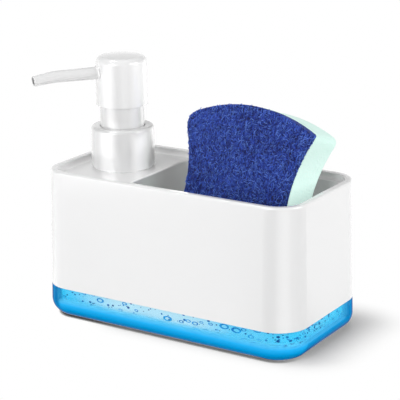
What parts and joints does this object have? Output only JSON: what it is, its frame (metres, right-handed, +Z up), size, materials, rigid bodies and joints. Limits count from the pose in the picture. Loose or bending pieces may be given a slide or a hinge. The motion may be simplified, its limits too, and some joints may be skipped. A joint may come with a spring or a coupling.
{
  "type": "soap pump caddy",
  "caption": "White caddy for the basin or sink with a clear soap tank in its foot, a hand pump at the left end and an open well that holds a scouring sponge.",
  "frame": {"origin": "middle of the foot's underside, on the table", "axes": "+X to the right towards the sponge well, +Y to the back, +Z up"},
  "size_m": [0.1556, 0.0784, 0.137],
  "materials": {
    "white_plastic": "glossy white moulded plastic",
    "clear_plastic": "clear polished plastic",
    "soap": "clear blue liquid with small bubbles",
    "pad_rubber": "soft matte grey anti-slip pad",
    "seal_rubber": "pale soft seal",
    "natural_plastic": "milky unpainted plastic",
    "steel": "bright stainless steel",
    "mint_foam": "fine open foam, pale mint",
    "blue_fibre": "coarse royal blue fibre pad"
  },
  "bodies": {
    "caddy": {"caddy_shell": "white_plastic", "tank_tray": "clear_plastic", "tank_cover": "clear_plastic", "liquid_soap": "soap", "base_pad": "pad_rubber"},
    "pump": {"neck_gasket": "seal_rubber", "pump_housing": "natural_plastic", "guide_sleeve": "white_plastic", "wiper_seal": "seal_rubber", "dip_tube": "natural_plastic", "ball_cage": "natural_plastic", "return_spring": "steel"},
    "closure": {"pump_collar": "white_plastic"},
    "plunger": {"stem": "natural_plastic", "piston": "natural_plastic"},
    "head": {"pump_head": "white_plastic", "spout": "white_plastic"},
    "inlet_valve": {"inlet_ball": "steel"},
    "outlet_valve": {"outlet_ball": "steel"},
    "sponge": {"sponge_foam": "mint_foam", "scouring_pad": "blue_fibre"}
  },
  "joints": [
    {"name": "pump_lift", "type": "slide", "parent": "caddy", "child": "pump", "axis": [0, 0, 1], "range_m": [0, 0.09]},
    {"name": "collar_turn", "type": "hinge", "parent": "pump", "child": "closure", "pos_m": [-0.049, 0.002, 0.088], "axis": [0, 0, 1], "continuous": true},
    {"name": "pump_press", "type": "slide", "parent": "pump", "child": "plunger", "axis": [0, 0, 1], "range_m": [-0.011, 0], "stiffness_N_per_m": 800, "springref_m": 0.008, "deforming": ["return_spring"]},
    {"name": "head_turn", "type": "hinge", "parent": "plunger", "child": "head", "pos_m": [-0.049, 0.002, 0.124], "axis": [0, 0, 1], "continuous": true},
    {"name": "inlet_lift", "type": "slide", "parent": "pump", "child": "inlet_valve", "axis": [0, 0, 1], "range_m": [0, 0.0012]},
    {"name": "outlet_lift", "type": "slide", "parent": "plunger", "child": "outlet_valve", "axis": [0, 0, 1], "range_m": [0, 0.0012]},
    {"name": "sponge_lift", "type": "slide", "parent": "caddy", "child": "sponge", "axis": [0, 0, 1], "range_m": [0, 0.1]}
  ]
}
